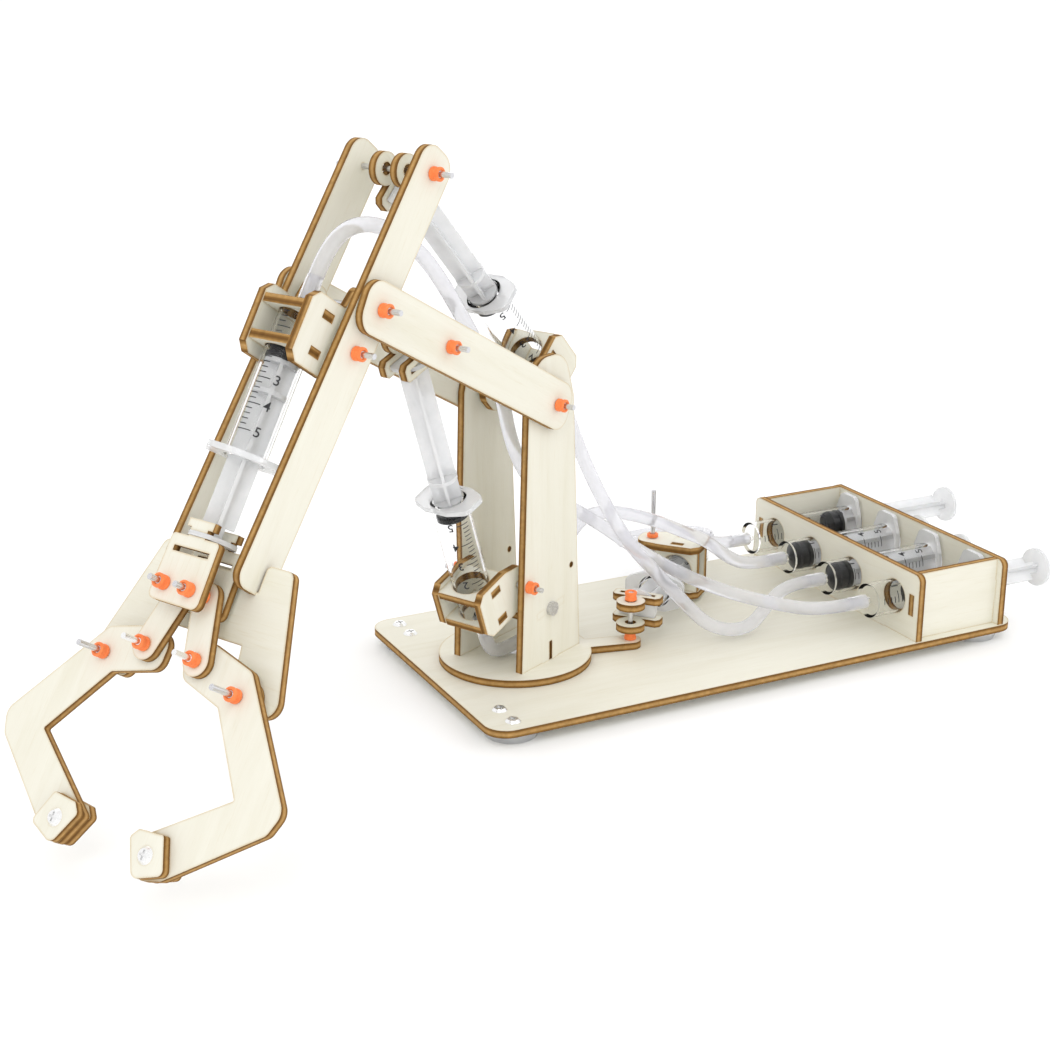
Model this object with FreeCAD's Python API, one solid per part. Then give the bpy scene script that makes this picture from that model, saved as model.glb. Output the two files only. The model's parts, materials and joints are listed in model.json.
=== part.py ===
import FreeCAD, Part
import math
import os

# Hydraulic robot arm kit: laser-cut plywood arm on a base board, moved by syringes and tubes.
# Millimetres, +Z up. The base board's length runs along X, its width along Y.
# Everything is drawn with the turntable axis on Z and the board's top at z = 0, then the
# finished set is moved so that the origin is under the middle of its bounding box.

V = FreeCAD.Vector

# ---- driving dimensions -------------------------------------------------------------------
PLY = 3.0                       # plywood thickness
BASE_X0, BASE_X1 = -38.0, 202.0
BASE_HALF_W = 60.0
FOOT_R, FOOT_H, FOOT_INSET = 11.0, 4.5, 13.0

ROD_R = 1.0                     # steel rods
RUN_R = 1.08                    # hole that turns on a rod
LOOSE_R = 2.2                   # hole that lets a rod wander at an opened pivot
COLLAR_R, COLLAR_L = 2.4, 3.7   # silicone collars

YAW = 206.9                     # heading of the arm, degrees from +X
BOOM_ANGLE = 28.3               # above horizontal
FOREARM_ANGLE = -52.2           # below horizontal
GRIP_TILT = -3.5                # gripper plane and syringe against the forearm

DISC_R = 30.0
PIVOT_R = 2.0                   # turntable screw's hole in the board
LEVER_PIN = (46.0, -10.5)       # in the board frame, at rest
TOWER_OUT = 16.5                # half width over the tower plates
SHOULDER = (0.0, 106.0)         # (forward, up) in the arm's own plane
BOX_PIVOT = (13.7, 37.5)
BOOM_L2, BOOM_L3 = 71.4, 110.3
BOOM_W = 18.0
BAR_TOP, BAR_LEN, BAR_W = 50.0, 158.0, 17.0
BAR_PIN_GAP = 16.0

BARREL_R, BORE_R, BARREL_L = 7.0, 6.0, 54.0
NOZZLE_R, NOZZLE_L = 2.0, 10.0
FLANGE_T = 2.0
PLUNGER_L = 69.0                # thumb disc centre to piston tip
PISTON_R, PISTON_L = 5.92, 8.0
RIB_HALF, RIB_T = 5.2, 1.2
NECK_HALF, NECK_L = 2.4, 5.0    # the ribs are lower next to the thumb disc
THUMB_R, THUMB_T = 8.0, 1.5
CLEVIS_DISC = 8.1               # clevis pin to thumb disc
CLEVIS_IN = 3.1                 # half gap between clevis plates
BOX_IN = 8.5                    # half gap between box side plates
TAB_HALF, TAB_SHY = 2.7, 0.5    # cross plates' tabs: half width, and how far they stop short

SHOULDER_OFF, ELBOW_OFF, TURN_OFF = 12.5, 16.0, 12.5   # box pivot to barrel axis
SHOULDER_FF, ELBOW_FF, TURN_FF = 46.0, 44.0, 33.0      # pivot foot to flange
TURN_PIVOT = (84.4, 38.0)
TURN_Z = 13.5
TURN_PIN_TOP = 46.0
TURN_SLOTS, ARM_SLOTS = (-4.0, 6.0), (-5.5, 7.0)       # cross plates, from the pivot foot along the barrel
LOBE_R, LOBE_ROUND = 5.8, 5.2   # a box's lobe round its pivot pin
LEVER_W, LEVER_END_R = 8.6, 4.3
CLEVIS_LOBE_R, CLEVIS_HALF = 5.7, 10.0

# Gripper, in its own plane: S runs along the plunger, W out of the jaws' plane.
GRIP_S = 141.0                  # where the tilted plane meets the forearm's line
GRIP_AXIS_W = 7.6               # syringe axis
BOX_S = (59.5, 72.0)            # cross plates of its box
FRONT_S, DISC_S = 57.0, 138.0   # barrel's front end and thumb disc
GRIP_BASE_W, JAW_W, LINK_W, YOKE_W = -4.5, 1.2, 4.4, 11.8
REAR_W = 2 * GRIP_AXIS_W - YOKE_W - PLY
JAW_PIVOT, YOKE_PIN, LINK_PIN = (29.3, 181.0), (5.5, 155.4), (11.2, 174.8)
TIP_SCREW = (20.3, 234.0)

CTRL_X0, CTRL_X1 = 150.3, 195.1
CTRL_Y0, CTRL_Y1 = -59.0, 58.0
CTRL_H = 28.0
CTRL_Y = (42.0, 14.0, -14.5, -43.5)
CTRL_Z = 15.0
CTRL_FLANGE_X = 191.0
CTRL_DISC_X = (245.0, 208.3, 208.3, 224.6)

TUBE_R = 2.7

HAIR = 0.02                     # clearance between faces that bear on each other
DISC_GAP = 0.15                 # turntable disc above the board
WALL_T = 1.5                    # barrel's front wall
SCREW_R, SCREW_HOLE_R, SCREW_HEAD_R = 1.45, 1.5, 2.9
BOLT_X, BOLT_Z, BOLT_R = -1.0, 24.4, 1.4               # through the tower brace
CHAMFER = 2.0                   # turntable screw's countersink
SHOULDER_OUT, BOOM_OUT, FORE_OUT = 7.5, 8.0, 8.2       # pins beyond the plates that they hold

X, Y, Z = V(1, 0, 0), V(0, 1, 0), V(0, 0, 1)


# ---- drawing helpers ----------------------------------------------------------------------
def unit(v):
    return V(v).normalize()


def outline(points):
    """Closed wire in the XY plane; each point is (x, y) or (x, y, corner radius)."""
    pts = [V(p[0], p[1], 0) for p in points]
    rad = [p[2] if len(p) > 2 else 0.0 for p in points]
    n = len(pts)
    ends = []
    for i in range(n):
        here = pts[i]
        back = unit(pts[i - 1] - here)
        ahead = unit(pts[(i + 1) % n] - here)
        if rad[i] <= 0:
            ends.append((here, None, here))
            continue
        half = back.getAngle(ahead) / 2
        reach = rad[i] / math.tan(half)
        mid = here + unit(back + ahead) * (rad[i] / math.sin(half) - rad[i])
        ends.append((here + back * reach, mid, here + ahead * reach))
    edges = []
    for i in range(n):
        start, mid, stop = ends[i]
        if mid is not None:
            edges.append(Part.Arc(start, mid, stop).toShape())
        following = ends[(i + 1) % n][0]
        if (following - stop).Length > 1e-6:
            edges.append(Part.LineSegment(stop, following).toShape())
    return Part.Wire(edges)


def circle(x, y, r):
    return Part.Wire(Part.makeCircle(r, V(x, y, 0)))


def rect(cx, cy, w, h, turn=0.0, r=0.0):
    wire = outline([(-w / 2, -h / 2, r), (w / 2, -h / 2, r), (w / 2, h / 2, r), (-w / 2, h / 2, r)])
    wire.rotate(V(0, 0, 0), Z, turn)
    wire.translate(V(cx, cy, 0))
    return wire


def frame(origin, u, v):
    """Placement that takes local x to u, local y to v and local z to u x v."""
    u, v = unit(u), unit(v)
    w = u.cross(v)
    rows = [(u.x, v.x, w.x, origin.x), (u.y, v.y, w.y, origin.y), (u.z, v.z, w.z, origin.z),
            (0, 0, 0, 1)]
    return FreeCAD.Placement(FreeCAD.Matrix(*[value for row in rows for value in row]))


def placed(shape, origin, u, v):
    out = shape.copy()
    out.Placement = frame(origin, u, v).multiply(out.Placement)
    return out


def sheet(edge, holes=(), t=PLY):
    """Flat plate lying on z = 0..t in its own frame."""
    face = Part.Face(edge)
    if holes:
        face = face.cut([Part.Face(h) for h in holes])
    return face.extrude(V(0, 0, t))


def side(edge, holes, y0, t=PLY):
    """Plate in the arm's plane: outline in (forward, up), from y0 to y0 + t."""
    return placed(sheet(edge, holes, t), V(0, y0 + t, 0), X, Z)


def fuse(*shapes):
    out = shapes[0]
    if len(shapes) > 1:
        out = out.fuse(list(shapes[1:]))
    return out.removeSplitter()


def rod(p, axis, lo, hi, r=ROD_R):
    return Part.makeCylinder(r, hi - lo, V(p) + unit(axis) * lo, unit(axis))


def collar(p, axis, lo, length=COLLAR_L):
    """Silicone ring: rounded rims, a slight waist, and a countersink round the rod at each end."""
    rim, waist, sink = min(1.1, length / 3), COLLAR_R - 0.2, min(0.5, length / 4)
    half = [(sink, 0), (sink, 1.15), (0, 1.6), (0, COLLAR_R - 0.35), (0.3, COLLAR_R), (rim, COLLAR_R),
            (rim + 0.15, waist)]
    points = half + [(length - a, r) for a, r in reversed(half)]
    face = Part.Face(Part.makePolygon([V(a, r, 0) for a, r in points + [points[0]]]))
    ring = face.revolve(V(0, 0, 0), X, 360)
    u = unit(axis)
    return placed(ring, V(p) + u * lo, u, u.cross(Z if abs(u.z) < 0.9 else X))


def pin(p, axis, half, grip, extra=()):
    """Steel rod with a silicone collar outside each gripped face; extra: inner collars."""
    shapes = [rod(p, axis, -half, half), collar(p, axis, grip), collar(p, axis, -grip - COLLAR_L)]
    for lo, length in extra:
        shapes.append(collar(p, axis, lo, length))
    return fuse(*shapes)


def flat(p, z):
    """Point of the arm's plane as a 3-D point."""
    return V(p[0], 0, p[1]) + Z * z


def polar(p, r, deg):
    a = math.radians(deg)
    return (p[0] + r * math.cos(a), p[1] + r * math.sin(a))


# ---- syringe pieces: local x runs from the clevis pin towards the nozzle -------------------
def barrel():
    """Flange face at x = 0, front end at x = BARREL_L, nozzle beyond."""
    body = Part.makeCylinder(BARREL_R, BARREL_L, V(0, 0, 0), X)
    wing = [(-8, -5, 2), (-5, -12.5, 3), (5, -12.5, 3), (8, -5, 2)]
    wing += [(-a, -b, r) for a, b, r in wing]
    flange = placed(sheet(outline(wing), (), FLANGE_T), V(0, 0, 0), Y, Z)
    nozzle = Part.makeCylinder(NOZZLE_R, NOZZLE_L, V(BARREL_L, 0, 0), X)
    out = body.fuse([flange, nozzle])
    out = out.cut(Part.makeCylinder(BORE_R, BARREL_L - WALL_T, V(0, 0, 0), X))
    return out.cut(Part.makeCylinder(1.0, NOZZLE_L + 3, V(BARREL_L - 2, 0, 0), X))


def plunger():
    """Thumb disc centred on x = 0, ribs turned 45 degrees, ending inside the piston's back."""
    stop = PLUNGER_L - PISTON_L
    shapes = [Part.makeCylinder(THUMB_R, THUMB_T, V(-THUMB_T / 2, 0, 0), X)]
    for turn in (45, 135):
        for start, end, half in ((0, NECK_L + 1, NECK_HALF), (NECK_L, stop, RIB_HALF)):
            rib = Part.makeBox(end - start, 2 * half, RIB_T, V(start, -half, -RIB_T / 2))
            rib.rotate(V(0, 0, 0), X, turn)
            shapes.append(rib)
    for at in (stop - 1.5, stop - 12):
        shapes.append(Part.makeCylinder(5.5, 1.5, V(at, 0, 0), X))
    return fuse(*shapes)


def piston():
    """Ribbed rubber seal with a shallow cone, its tip at x = PLUNGER_L."""
    x0 = PLUNGER_L - PISTON_L
    groove = PISTON_R - 0.72
    pts = [(x0, 0), (x0, PISTON_R), (x0 + 1.6, PISTON_R), (x0 + 2.0, groove), (x0 + 3.6, groove),
           (x0 + 4.0, PISTON_R), (x0 + 5.6, PISTON_R), (PLUNGER_L, 0.8), (PLUNGER_L, 0)]
    face = Part.Face(Part.makePolygon([V(a, b, 0) for a, b in pts + [pts[0]]]))
    return face.revolve(V(0, 0, 0), X, 360)


def clevis_plate():
    """Round lobe on the pin, neck, and a bar slotted for the thumb disc's rim."""
    half = CLEVIS_HALF
    bar = sheet(outline([(5.0, -half + 1.5), (6.5, -half), (10.2, -half), (11.2, -half + 1), (11.2, half - 1),
                         (10.2, half), (6.5, half), (5.0, half - 1.5)]))
    lobe = sheet(circle(0, 0, CLEVIS_LOBE_R))
    out = fuse(lobe, bar)
    out = out.cut(sheet(rect(CLEVIS_DISC, 0, THUMB_T + 0.3, 14.6), (), 3 * PLY))
    return out.cut(sheet(circle(0, 0, LOOSE_R), (), 3 * PLY))


def clevis():
    """Two clevis plates either side of the plunger, flat to local z."""
    upper = placed(clevis_plate(), V(0, 0, CLEVIS_IN), X, Y)
    lower = placed(clevis_plate(), V(0, 0, -CLEVIS_IN - PLY), X, Y)
    disc = Part.makeCylinder(THUMB_R + HAIR, THUMB_T, V(CLEVIS_DISC - THUMB_T / 2, 0, 0), X)
    return Part.makeCompound([upper.cut(disc), lower.cut(disc)])


def box(edge, holes, slots, half_b):
    """Barrel box: side plates flat to local z joined by two cross plates round the barrel."""
    cuts = list(holes) + [rect(a, 0, PLY, 2 * TAB_HALF) for a in slots]
    end = BOX_IN + PLY - TAB_SHY
    plate = sheet(outline(edge), cuts)
    shapes = [placed(plate, V(0, 0, BOX_IN), X, Y), placed(plate, V(0, 0, -BOX_IN - PLY), X, Y)]
    for a in slots:
        wire = [(-half_b, -BOX_IN), (-TAB_HALF, -BOX_IN), (-TAB_HALF, -end), (TAB_HALF, -end),
                (TAB_HALF, -BOX_IN), (half_b, -BOX_IN)]
        wire += [(-b, -c) for b, c in wire]
        cross = sheet(outline(wire), [circle(0, 0, BARREL_R + HAIR)])
        shapes.append(placed(cross, V(a - PLY / 2, 0, 0), Y, Z))
    return fuse(*shapes)


def swivel_box(off, slots):
    """Box whose pivot hole sits off the barrel axis, on the local +y side."""
    lo, hi = slots[0] - 3.5, slots[1] + 3.5
    edge = [(lo, -7), (lo + 3, -10), (hi - 3, -10), (hi, -7), (hi, 7, 1.5),
            (LOBE_R, off + LOBE_R, LOBE_ROUND), (-LOBE_R, off + LOBE_R, LOBE_ROUND), (lo, 7, 1.5)]
    return box(edge, [circle(0, off, RUN_R)], slots, 9.5)


# ---- the finished nodes, by name ------------------------------------------------------------
nodes = {}
heading = FreeCAD.Rotation(Z, YAW)


def keep_arm(name, shape):
    """Store a shape drawn in the arm's frame (x forward, z up)."""
    out = shape.copy()
    out.Placement = FreeCAD.Placement(V(0, 0, 0), heading).multiply(out.Placement)
    nodes[name] = out


def crosshead(at, r, height):
    """Low domed screw head standing on a point, with a cross recess."""
    head = Part.makeCone(r, 0.7 * r, height, at, Z)
    arm_l, arm_w = 1.1 * r, 0.75
    floor = at.z + 0.25 * height
    for length, width in ((arm_l, arm_w), (arm_w, arm_l)):
        head = head.cut(Part.makeBox(length, width, height, V(at.x - length / 2, at.y - width / 2, floor)))
    return head


# ---- base board, feet and screws ------------------------------------------------------------
corner = 9.0
board_edge = [(BASE_X0, -BASE_HALF_W, corner), (BASE_X1, -BASE_HALF_W, corner),
              (BASE_X1, BASE_HALF_W, corner), (BASE_X0, BASE_HALF_W, corner)]
screw_xy = []
screw_pairs = ((BASE_X0 + FOOT_INSET - 2, BASE_HALF_W - FOOT_INSET, 5.5),
               (BASE_X1 - FOOT_INSET - 5, 44.0, 5.0))
for cx, cy, step in screw_pairs:
    for y in (cy + step, cy - step):
        screw_xy += [(cx, y), (cx, -y)]
ctrl_mid = (CTRL_Y0 + CTRL_Y1) / 2
tab_y = (ctrl_mid - 28, ctrl_mid + 28)
board_holes = [circle(x, y, SCREW_HOLE_R) for x, y in screw_xy]
board_holes += [rect(x, y, PLY, 20) for x in (CTRL_X0 + PLY / 2, CTRL_X1 - PLY / 2) for y in tab_y]
board_holes += [circle(TURN_PIVOT[0], TURN_PIVOT[1], ROD_R), circle(0, 0, PIVOT_R)]
nodes["base_board"] = placed(sheet(outline(board_edge), board_holes), V(0, 0, -PLY), X, Y)

feet = []
for cx in (BASE_X0 + FOOT_INSET, BASE_X1 - FOOT_INSET):
    for cy in (-BASE_HALF_W + FOOT_INSET, BASE_HALF_W - FOOT_INSET):
        cup = Part.makeCone(FOOT_R - 1.5, FOOT_R, FOOT_H, V(cx, cy, -PLY - FOOT_H), Z)
        holes = [Part.makeCylinder(SCREW_HOLE_R, 9, V(x, y, -PLY - FOOT_H - 2), Z) for x, y in screw_xy
                 if abs(x - cx) < 12 and abs(y - cy) < 12]
        feet.append(cup.cut(holes))
nodes["feet"] = Part.makeCompound(feet)

screws = []
for x, y in screw_xy:
    shank = Part.makeCylinder(SCREW_R, PLY + 3.0, V(x, y, -PLY - 2.9), Z)
    screws.append(crosshead(V(x, y, HAIR), SCREW_HEAD_R, 1.0).fuse(shank))
nodes["corner_screws"] = Part.makeCompound(screws)

# ---- control box: front and rear walls drilled for four syringes, recessed end walls --------
wall_w = CTRL_Y1 - CTRL_Y0


def control_wall(hole_r):
    """Long wall in (across, up) with tabs down into the board and slots for the end walls."""
    half = wall_w / 2
    edge = [(-half, 0), (-38, 0), (-38, -PLY), (-18, -PLY), (-18, 0), (18, 0), (18, -PLY), (38, -PLY),
            (38, 0), (half, 0), (half, CTRL_H, 3), (-half, CTRL_H, 3)]
    holes = [circle(y - ctrl_mid, CTRL_Z, hole_r) for y in CTRL_Y]
    holes += [rect(s * (half - 4.5), 14.5, PLY, 9) for s in (-1, 1)]
    return sheet(outline(edge), holes)


nodes["control_front_wall"] = placed(control_wall(BARREL_R + HAIR), V(CTRL_X0, ctrl_mid, 0), Y, Z)
nodes["control_rear_wall"] = placed(control_wall(RIB_HALF + 2.4), V(CTRL_X1 - PLY, ctrl_mid, 0), Y, Z)
gap = CTRL_X1 - CTRL_X0 - 2 * PLY
end_edge = [(0, 0), (gap, 0), (gap, 10), (gap + PLY, 10), (gap + PLY, 19), (gap, 19), (gap, CTRL_H),
            (0, CTRL_H), (0, 19), (-PLY, 19), (-PLY, 10), (0, 10)]
end_wall = sheet(outline(end_edge))
for name, y in (("control_near_wall", CTRL_Y0 + 6.0), ("control_far_wall", CTRL_Y1 - 3.0)):
    nodes[name] = placed(end_wall, V(CTRL_X0 + PLY, y, 0), X, Z)

for i, y in enumerate(CTRL_Y, 1):
    nodes["control_barrel_%d" % i] = placed(barrel(), V(CTRL_FLANGE_X, y, CTRL_Z), V(-1, 0, 0), Y)
    at = V(CTRL_DISC_X[i - 1], y, CTRL_Z)
    whole = Part.makeCompound([plunger(), piston()])
    nodes["control_plunger_%d" % i] = placed(whole, at, V(-1, 0, 0), Z)

# ---- turning syringe: box on an upright pin, clevis on the turntable's lever ----------------
lever = V(LEVER_PIN[0], LEVER_PIN[1], TURN_Z)
reach = math.hypot(TURN_PIVOT[0] - LEVER_PIN[0], TURN_PIVOT[1] - LEVER_PIN[1])
turn_dir = math.degrees(math.atan2(TURN_PIVOT[1] - LEVER_PIN[1], TURN_PIVOT[0] - LEVER_PIN[0]))
turn_dir -= math.degrees(math.asin(TURN_OFF / reach))
turn_l = math.sqrt(reach ** 2 - TURN_OFF ** 2)
tu = V(math.cos(math.radians(turn_dir)), math.sin(math.radians(turn_dir)), 0)
tv = Z.cross(tu)
foot = lever + tu * turn_l
nodes["turn_box"] = placed(swivel_box(TURN_OFF, TURN_SLOTS), foot, tu, tv)
nodes["turn_barrel"] = placed(barrel(), foot - tu * TURN_FF, tu, Z)
nodes["turn_plunger"] = placed(plunger(), lever + tu * CLEVIS_DISC, tu, Z)
nodes["turn_piston"] = placed(piston(), lever + tu * CLEVIS_DISC, tu, Z)
nodes["turn_clevis"] = placed(clevis(), lever, tu, tv)
pivot = V(TURN_PIVOT[0], TURN_PIVOT[1], 0)
top = TURN_Z + BOX_IN + PLY
nodes["turn_pivot_pin"] = fuse(rod(pivot, Z, -PLY, TURN_PIN_TOP), collar(pivot, Z, top + 0.2, 1.6))

# ---- turntable and tower --------------------------------------------------------------------
lever_deg = math.degrees(math.atan2(LEVER_PIN[1], LEVER_PIN[0]))
lever_r = math.hypot(LEVER_PIN[0], LEVER_PIN[1])
tongue = rect(lever_r / 2, 0, lever_r, LEVER_W)
tongue.rotate(V(0, 0, 0), Z, lever_deg)
lever_end = circle(LEVER_PIN[0], LEVER_PIN[1], LEVER_END_R)
disc = fuse(sheet(circle(0, 0, DISC_R)), sheet(tongue), sheet(lever_end))
disc = disc.cut(Part.makeCylinder(ROD_R, 9, V(LEVER_PIN[0], LEVER_PIN[1], -3), Z))
disc = disc.cut(Part.makeCylinder(PIVOT_R, 9, V(0, 0, -3), Z))
disc = disc.cut(Part.makeCone(PIVOT_R, PIVOT_R + CHAMFER, CHAMFER, V(0, 0, PLY - 1.9), Z))
tower_tab = (-0.6, 10.0)
for s in (-1, 1):
    tab_corner = V(tower_tab[0] - tower_tab[1] / 2, s * (TOWER_OUT - PLY / 2) - PLY / 2, -1)
    notch = Part.makeBox(tower_tab[1], PLY, PLY + 2, tab_corner)
    notch.rotate(V(0, 0, 0), Z, YAW)
    disc = disc.cut(notch)
disc.translate(Z * DISC_GAP)
nodes["turntable_disc"] = disc
shaft_r = PIVOT_R - 0.06
turntable_screw = fuse(Part.makeCylinder(PIVOT_R, PLY, V(0, 0, -PLY), Z),
                       Part.makeCylinder(shaft_r, 3.0, V(0, 0, 0), Z),
                       Part.makeCone(shaft_r, PIVOT_R + 1.85, 1.9, V(0, 0, 1.25), Z),
                       Part.makeCylinder(4.0, 3.2, V(0, 0, -PLY - 3.2), Z))
nodes["turntable_screw"] = turntable_screw

deck = PLY + DISC_GAP
inner = TOWER_OUT - PLY
tab_end = TOWER_OUT - TAB_SHY
brace_half = [(-11.5, -inner), (-8.9, -inner), (-8.9, -tab_end), (-3.9, -tab_end), (-3.9, -inner),
              (3.9, -inner), (3.9, -tab_end), (8.9, -tab_end), (8.9, -inner), (11.5, -inner)]
brace_edge = brace_half + [(-a, -b) for a, b in brace_half]
brace = placed(sheet(outline(brace_edge)), V(BOLT_X, 0, BOLT_Z - PLY / 2), V(1, 0, -0.123), Y)
tab_lo, tab_hi = tower_tab[0] - 5, tower_tab[0] + 5
tower_edge = [(-20.4, deck), (tab_lo, deck), (tab_lo, DISC_GAP), (tab_hi, DISC_GAP), (tab_hi, deck),
              (17.7, deck), (13.2, 108), (8.5, 124, 9), (-9.5, 124, 10), (-15.2, 106)]
tower_holes = [circle(SHOULDER[0], SHOULDER[1], ROD_R), circle(BOX_PIVOT[0], BOX_PIVOT[1], ROD_R),
               circle(-14.4, 38.3, 1.2), circle(BOLT_X, BOLT_Z, BOLT_R), rect(-0.95, 7.0, 1.8, 7.6)]
for name, y0 in (("tower_near", inner), ("tower_far", -TOWER_OUT)):
    keep_arm(name, side(outline(tower_edge), tower_holes, y0).cut(brace))
bolts = []
for s in (-1, 1):
    shank = rod((BOLT_X, 0, BOLT_Z), Y, *sorted((s * 6.0, s * TOWER_OUT)), r=BOLT_R)
    rims = sorted((s * (TOWER_OUT + HAIR), s * (TOWER_OUT + 1.6)))
    head = rod((BOLT_X, 0, BOLT_Z), Y, *rims, r=2 * BOLT_R)
    bolts.append(shank.fuse(head))
brace = brace.cut(bolts)
keep_arm("tower_brace", brace)

lever_foot = V(LEVER_PIN[0], LEVER_PIN[1], 0)
clevis_low, clevis_high = TURN_Z - CLEVIS_IN - PLY, TURN_Z + CLEVIS_IN + PLY
nodes["lever_pin"] = fuse(rod(lever_foot, Z, 0.3, clevis_high + COLLAR_L - 0.2),
                          collar(lever_foot, Z, deck + HAIR, clevis_low - deck - 0.2 - HAIR),
                          collar(lever_foot, Z, clevis_high + 0.2))

boom_out = TOWER_OUT + 0.3 + PLY
p1 = flat(SHOULDER, 0)
tower_pins = [pin(p1, Y, boom_out + SHOULDER_OUT, boom_out + 0.2),
              fuse(rod(flat(BOX_PIVOT, 0), Y, -23, 23), collar(flat(BOX_PIVOT, 0), Y, TOWER_OUT + HAIR),
                   collar(flat(BOX_PIVOT, 0), Y, -TOWER_OUT - HAIR - COLLAR_L))]
keep_arm("tower_pins", Part.makeCompound(tower_pins + bolts))

# ---- boom -------------------------------------------------------------------------------------
p2 = polar(SHOULDER, BOOM_L2, BOOM_ANGLE)
p3 = polar(SHOULDER, BOOM_L3, BOOM_ANGLE)
boom_u = V(math.cos(math.radians(BOOM_ANGLE)), 0, math.sin(math.radians(BOOM_ANGLE)))
boom_v = V(-boom_u.z, 0, boom_u.x)
boom_edge = [(-8.5, -BOOM_W / 2, 6.5), (BOOM_L3 + 8.5, -BOOM_W / 2, 6.5), (BOOM_L3 + 8.5, BOOM_W / 2, 6.5),
             (-8.5, BOOM_W / 2, 6.5)]
boom_holes = [circle(0, 0, RUN_R), circle(BOOM_L2, 0, ROD_R), circle(BOOM_L3, 0, ROD_R)]
boom_plate = sheet(outline(boom_edge), boom_holes)
for name, y1 in (("boom_near", boom_out), ("boom_far", -boom_out + PLY)):
    keep_arm(name, placed(boom_plate, V(p1.x, y1, p1.z), boom_u, boom_v))
boom_pins = [pin(flat(p, 0), Y, boom_out + BOOM_OUT, boom_out + HAIR) for p in (p2, p3)]
keep_arm("boom_pins", Part.makeCompound(boom_pins))

# ---- shoulder syringe -------------------------------------------------------------------------


def arm_syringe(prefix, pin_at, box_at, off, ff, hand):
    """Box, barrel, plunger, piston and clevis between a clevis pin and a box pivot in the arm plane.

    hand is +1 when the pivot lies counter-clockwise of the barrel axis seen from the near side."""
    dx, dz = box_at[0] - pin_at[0], box_at[1] - pin_at[1]
    span = math.hypot(dx, dz)
    deg = math.degrees(math.atan2(dz, dx)) - hand * math.degrees(math.asin(off / span))
    length = math.sqrt(span ** 2 - off ** 2)
    u = V(math.cos(math.radians(deg)), 0, math.sin(math.radians(deg)))
    v = V(-u.z, 0, u.x) * hand
    start = flat(pin_at, 0)
    base = start + u * length
    keep_arm(prefix + "_box", placed(swivel_box(off, ARM_SLOTS), base, u, v))
    keep_arm(prefix + "_barrel", placed(barrel(), base - u * ff, u, v))
    keep_arm(prefix + "_plunger", placed(plunger(), start + u * CLEVIS_DISC, u, Y))
    keep_arm(prefix + "_piston", placed(piston(), start + u * CLEVIS_DISC, u, Y))
    keep_arm(prefix + "_clevis", placed(clevis(), start, u, v))


arm_syringe("shoulder", p2, BOX_PIVOT, SHOULDER_OFF, SHOULDER_FF, -1)

# ---- forearm ----------------------------------------------------------------------------------
fa = math.radians(FOREARM_ANGLE)
fore_u = V(math.cos(fa), 0, math.sin(fa))
fore_v = V(-fore_u.z, 0, fore_u.x)
p4 = (p3[0] - BAR_TOP * fore_u.x, p3[1] - BAR_TOP * fore_u.z)
p5 = (p3[0] + BAR_PIN_GAP * fore_u.x, p3[1] + BAR_PIN_GAP * fore_u.z)
arm_syringe("elbow", p4, SHOULDER, ELBOW_OFF, ELBOW_FF, 1)

# Gripper frame: u along the plunger, w out of the jaws' plane, y' across the arm.
ga = math.radians(FOREARM_ANGLE + GRIP_TILT)
grip_u = V(math.cos(ga), 0, math.sin(ga))
grip_w = V(-grip_u.z, 0, grip_u.x)
grip_o = flat(p4, 0) + fore_u * GRIP_S - grip_u * GRIP_S


def on_grip(shape, w0):
    """Plate drawn in (across, along the plunger), lying from w0 upwards in w."""
    return placed(shape, grip_o + grip_w * w0, V(0, -1, 0), grip_u)


base_edge = [(28.0, 139.5, 3), (42.0, 183.5, 5), (22.5, 187.0, 4), (18.5, 165.5), (-18.5, 165.5),
             (-22.5, 187.0, 4), (-42.0, 183.5, 5), (-28.0, 139.5, 3), (-17.2, 139.5, 2),
             (-17.2, 148.5), (-13.3, 148.5), (-13.3, 143.5), (13.3, 143.5), (13.3, 148.5),
             (17.2, 148.5), (17.2, 139.5, 2)]
base_holes = [circle(s * JAW_PIVOT[0], JAW_PIVOT[1], ROD_R) for s in (-1, 1)]
base_plate = sheet(outline(base_edge), base_holes)
keep_arm("gripper_base", on_grip(base_plate, GRIP_BASE_W))

half = BAR_W / 2
bar_edge = [(-8.5, -half, 6.5), (BAR_LEN - 8.5, -half, 5), (BAR_LEN - 8.5, half, 5), (-8.5, half, 6.5)]
bar_holes = [circle(0, 0, ROD_R), circle(BAR_TOP, 0, RUN_R), circle(BAR_TOP + BAR_PIN_GAP, 0, ROD_R)]
bar = sheet(outline(bar_edge), bar_holes)
lap = on_grip(sheet(rect(0, 158.5, 80, 20)), GRIP_BASE_W)
for name, y1 in (("bar_near", TOWER_OUT), ("bar_far", -TOWER_OUT + PLY)):
    keep_arm(name, placed(bar, V(p4[0], y1, p4[1]), fore_u, fore_v).cut(lap))

# Gripper syringe box: side plates reach down to the two pins of the forearm.
axis_o = grip_o + grip_w * GRIP_AXIS_W


def in_box(p):
    """Arm-plane point in the box's (along, off-axis) coordinates."""
    d = flat(p, 0) - axis_o
    return (d.dot(grip_u), d.dot(grip_w))


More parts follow.
